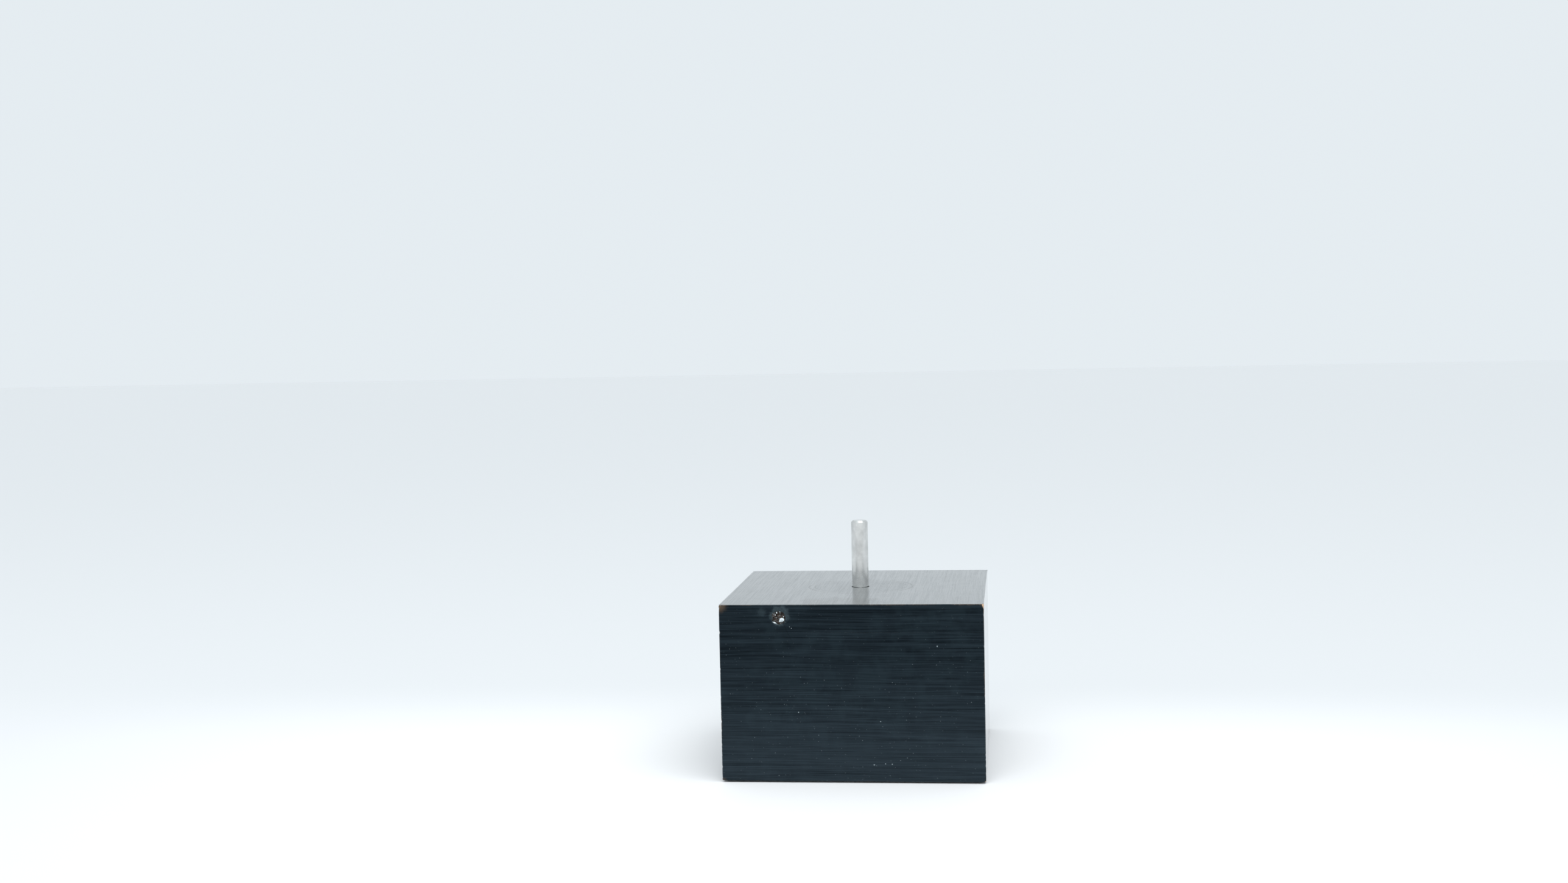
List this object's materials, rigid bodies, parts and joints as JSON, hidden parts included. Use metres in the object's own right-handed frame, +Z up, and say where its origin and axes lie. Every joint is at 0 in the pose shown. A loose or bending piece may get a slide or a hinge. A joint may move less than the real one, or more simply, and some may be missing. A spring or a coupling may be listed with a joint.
{
  "type": "display plinth",
  "caption": "Low box plinth in black lacquered wood with a turning steel mounting pin in its top face and a felt underside.",
  "frame": {"origin": "centre of the underside, on the surface that the felt rests on", "axes": "+Z up along the mounting pin, the front face towards -Y, +X to the right seen from the front"},
  "size_m": [0.15, 0.15, 0.142],
  "materials": {
    "black_lacquer": "hardboard-smooth wood under black satin lacquer, worn at the arrises",
    "bare_wood": "bare planed softwood, glued",
    "dowel_wood": "fluted beech, glued",
    "plywood": "birch plywood, unsealed",
    "pin_steel": "turned and polished stainless steel",
    "bronze": "turned bearing bronze",
    "zinc_steel": "bright zinc plate",
    "spring_steel": "phosphated spring steel",
    "nylon": "natural moulded nylon",
    "ballast_steel": "hot rolled mild steel with mill scale",
    "filler": "crumbling two-part wood filler, thinly painted",
    "felt": "pressed wool felt"
  },
  "bodies": {
    "plinth": {"top_board": "black_lacquer", "front_board": "black_lacquer", "back_board": "black_lacquer", "left_board": "black_lacquer", "right_board": "black_lacquer", "corner_block_front_left": "bare_wood", "corner_block_front_right": "bare_wood", "corner_block_back_left": "bare_wood", "corner_block_back_right": "bare_wood", "top_dowels": "dowel_wood", "wall_dowels": "dowel_wood", "pin_block": "plywood", "pin_block_screws": "zinc_steel", "flange_bush": "bronze", "ballast_plate": "ballast_steel", "ballast_screws": "zinc_steel", "base_board": "plywood", "base_screws": "zinc_steel", "felt_pad": "felt", "filler_patch": "filler"},
    "spindle": {"mounting_pin": "pin_steel", "thrust_washer": "nylon", "disc_spring": "spring_steel", "plain_washer": "zinc_steel", "clamp_nut": "zinc_steel", "lock_nut": "zinc_steel"}
  },
  "joints": [
    {"name": "pin_turn", "type": "hinge", "parent": "plinth", "child": "spindle", "pos_m": [0, 0, 0.102], "axis": [0, 0, 1], "continuous": true}
  ]
}
